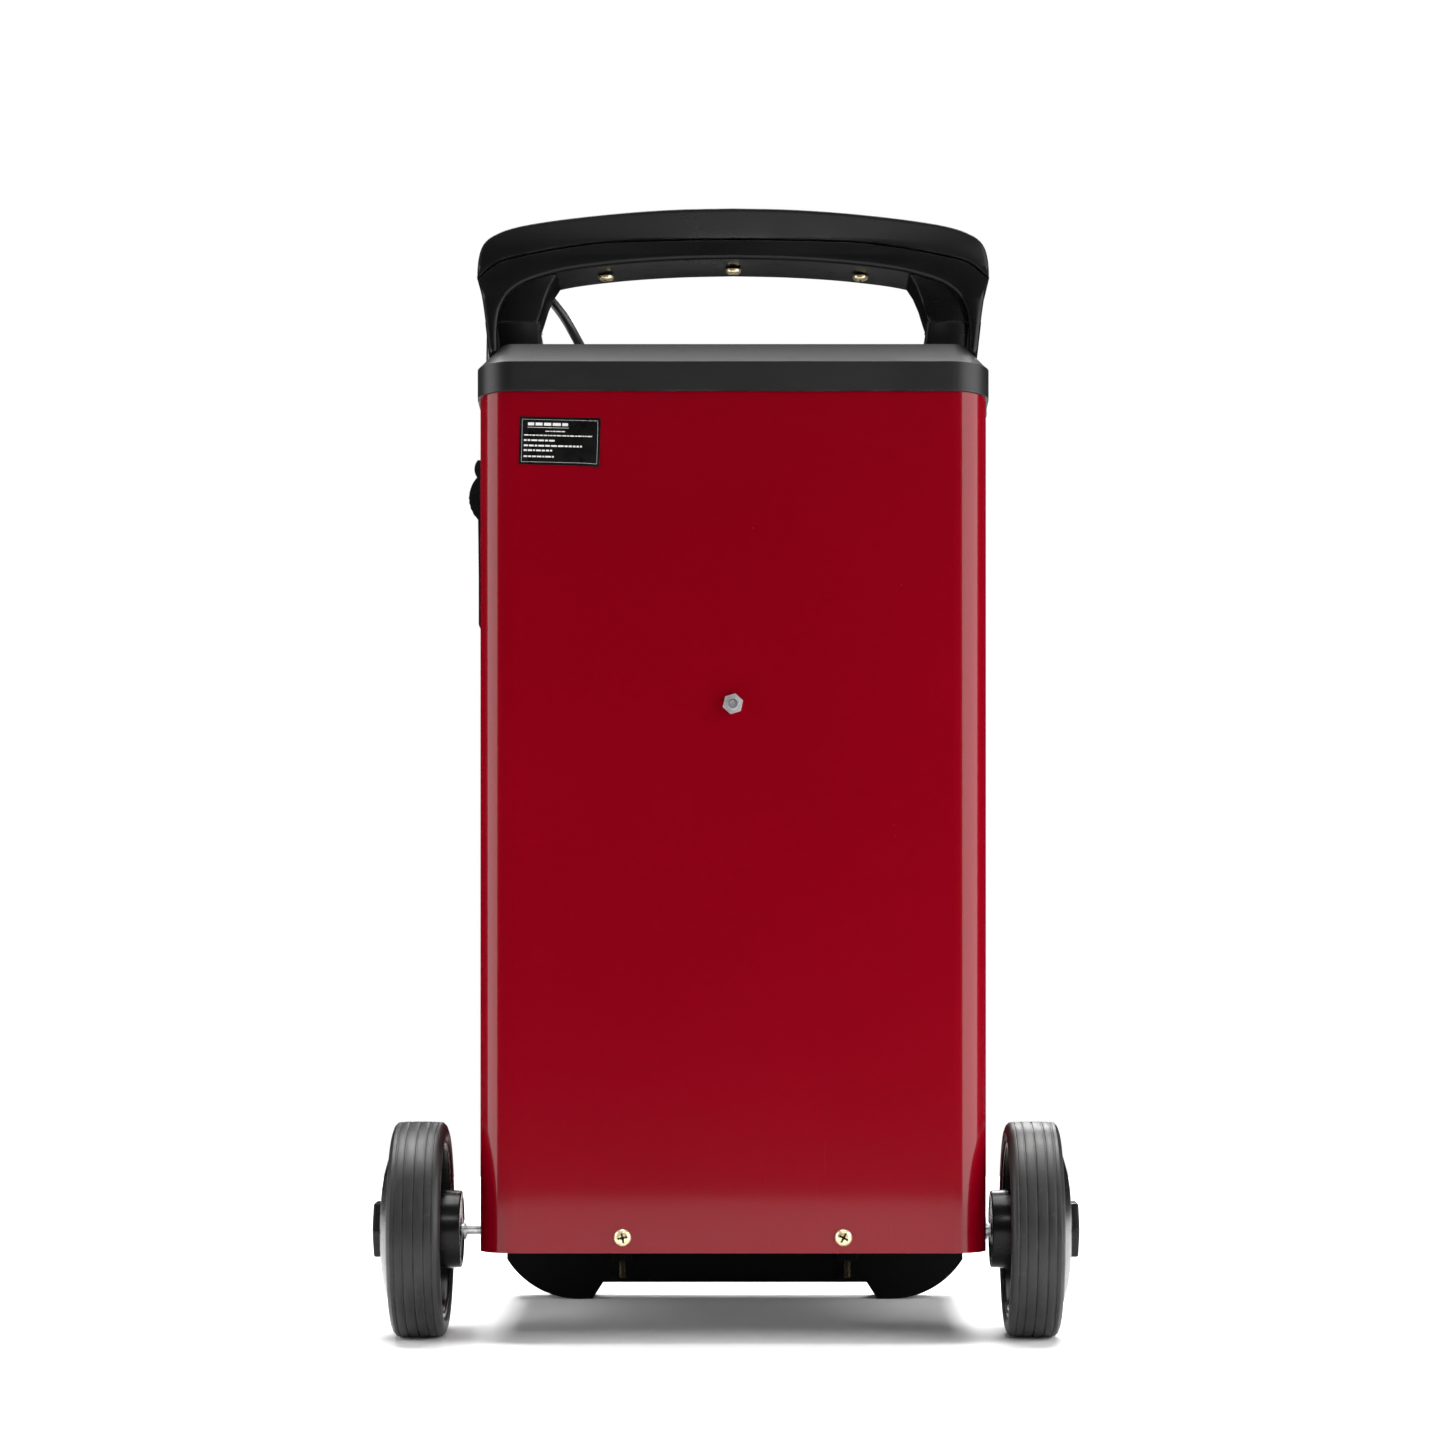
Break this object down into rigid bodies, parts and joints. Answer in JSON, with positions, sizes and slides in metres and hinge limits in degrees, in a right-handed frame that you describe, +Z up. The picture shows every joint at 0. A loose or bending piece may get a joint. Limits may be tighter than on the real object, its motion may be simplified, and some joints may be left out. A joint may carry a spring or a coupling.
{
  "type": "wheeled battery charger",
  "caption": "Upright sheet-steel battery charger with a sloping plastic lid, an arch handle, two wheels, moulded front feet, a control panel and one clamp lead.",
  "frame": {"origin": "on the floor under the middle of the box round everything but the loose lead", "axes": "+Z up; -Y is the back, where the wheels are; +Y is the control panel; +X is right seen from behind"},
  "size_m": [0.393, 0.4564, 0.6267],
  "materials": {
    "red_paint": "gloss",
    "black_plastic": "satin moulded",
    "panel_plastic": "fine texture",
    "plate_metal": "brushed",
    "tyre_rubber": "matt",
    "hub_plastic": "gloss",
    "zinc_steel": "bright zinc",
    "yellow_zinc": "yellow zinc",
    "tray_steel": "plain",
    "label_film": "printed film",
    "meter_white": "plain",
    "needle_red": "painted",
    "clear": "clear",
    "core_steel": "varnished laminations",
    "copper_winding": "enamelled copper, varnished",
    "fin_aluminium": "extruded",
    "lead_rubber": "soft pvc",
    "clamp_insulator": "moulded"
  },
  "bodies": {
    "charger": {"cabinet": "red_paint", "chassis_tray": "tray_steel", "base_moulding": "black_plastic", "base_screws": "yellow_zinc", "lid": "black_plastic", "handle_upper": "black_plastic", "handle_lower": "black_plastic", "handle_screws": "yellow_zinc", "lid_screws": "zinc_steel", "side_screws": "zinc_steel", "axle": "zinc_steel", "axle_clips": "zinc_steel", "rear_bolt": "zinc_steel", "rear_nut": "zinc_steel", "rear_screws": "yellow_zinc", "rear_label": "label_film", "front_panel": "panel_plastic", "control_plate": "plate_metal", "meter_case": "panel_plastic", "meter_dial": "meter_white", "meter_movement": "tray_steel", "meter_pivot": "zinc_steel", "meter_window": "clear", "rotary_switches": "panel_plastic", "power_rocker_frame": "panel_plastic", "boost_rocker_frame": "panel_plastic", "fuse_holder": "panel_plastic", "transformer_core": "core_steel", "primary_winding": "copper_winding", "secondary_winding": "copper_winding", "transformer_feet": "tray_steel", "rectifier_plate": "fin_aluminium", "rectifier_diodes": "zinc_steel", "thermal_cutout": "panel_plastic", "terminal_block": "meter_white", "clamp_rest": "zinc_steel", "lead_hook": "black_plastic", "lead_sleeve": "lead_rubber", "lead_tail": "lead_rubber", "lead_run": "lead_rubber", "lead_coil": "lead_rubber", "clamp_inner_half": "clamp_insulator", "clamp_pin": "zinc_steel", "clamp_spring": "zinc_steel", "black_lead_gland": "panel_plastic", "red_lead_outlet": "panel_plastic", "mains_inlet_gland": "panel_plastic"},
    "wheel_left": {"tyre_left": "tyre_rubber", "hub_left": "hub_plastic", "hub_cap_left": "hub_plastic"},
    "wheel_right": {"tyre_right": "tyre_rubber", "hub_right": "hub_plastic", "hub_cap_right": "hub_plastic"},
    "selector": {"selector_knob": "hub_plastic"},
    "timer": {"timer_knob": "hub_plastic"},
    "power_key": {"power_rocker": "hub_plastic"},
    "boost_key": {"boost_rocker": "hub_plastic"},
    "needle": {"meter_needle": "needle_red"},
    "fuse": {"fuse_cap": "hub_plastic"},
    "clamp_jaw": {"clamp_outer_half": "clamp_insulator"}
  },
  "joints": [
    {"name": "wheel_left_spin", "type": "hinge", "parent": "charger", "child": "wheel_left", "pos_m": [0, -0.095, 0.06], "axis": [1, 0, 0], "continuous": true},
    {"name": "wheel_right_spin", "type": "hinge", "parent": "charger", "child": "wheel_right", "pos_m": [0, -0.095, 0.06], "axis": [1, 0, 0], "continuous": true},
    {"name": "selector_turn", "type": "hinge", "parent": "charger", "child": "selector", "pos_m": [0.062, 0.135, 0.41], "axis": [0, -1, 0], "range_deg": [-60, 60]},
    {"name": "timer_turn", "type": "hinge", "parent": "charger", "child": "timer", "pos_m": [0.062, 0.135, 0.336], "axis": [0, -1, 0], "range_deg": [0, 300]},
    {"name": "power_rock", "type": "hinge", "parent": "charger", "child": "power_key", "pos_m": [-0.078, 0.128, 0.328], "axis": [1, 0, 0], "range_deg": [0, 12]},
    {"name": "boost_rock", "type": "hinge", "parent": "charger", "child": "boost_key", "pos_m": [-0.038, 0.128, 0.328], "axis": [1, 0, 0], "range_deg": [0, 12], "stiffness_Nm_per_rad": 0.05},
    {"name": "needle_swing", "type": "hinge", "parent": "charger", "child": "needle", "pos_m": [-0.044, 0.124, 0.388], "axis": [0, -1, 0], "range_deg": [0, 84], "stiffness_Nm_per_rad": 0.0002},
    {"name": "fuse_turn", "type": "hinge", "parent": "charger", "child": "fuse", "pos_m": [0.004, 0.14, 0.336], "axis": [0, -1, 0], "range_deg": [0, 45]},
    {"name": "clamp_squeeze", "type": "hinge", "parent": "charger", "child": "clamp_jaw", "pos_m": [-0.147, 0.105, 0.455], "axis": [0, 1, 0], "range_deg": [0, 5.5], "stiffness_Nm_per_rad": 2}
  ]
}
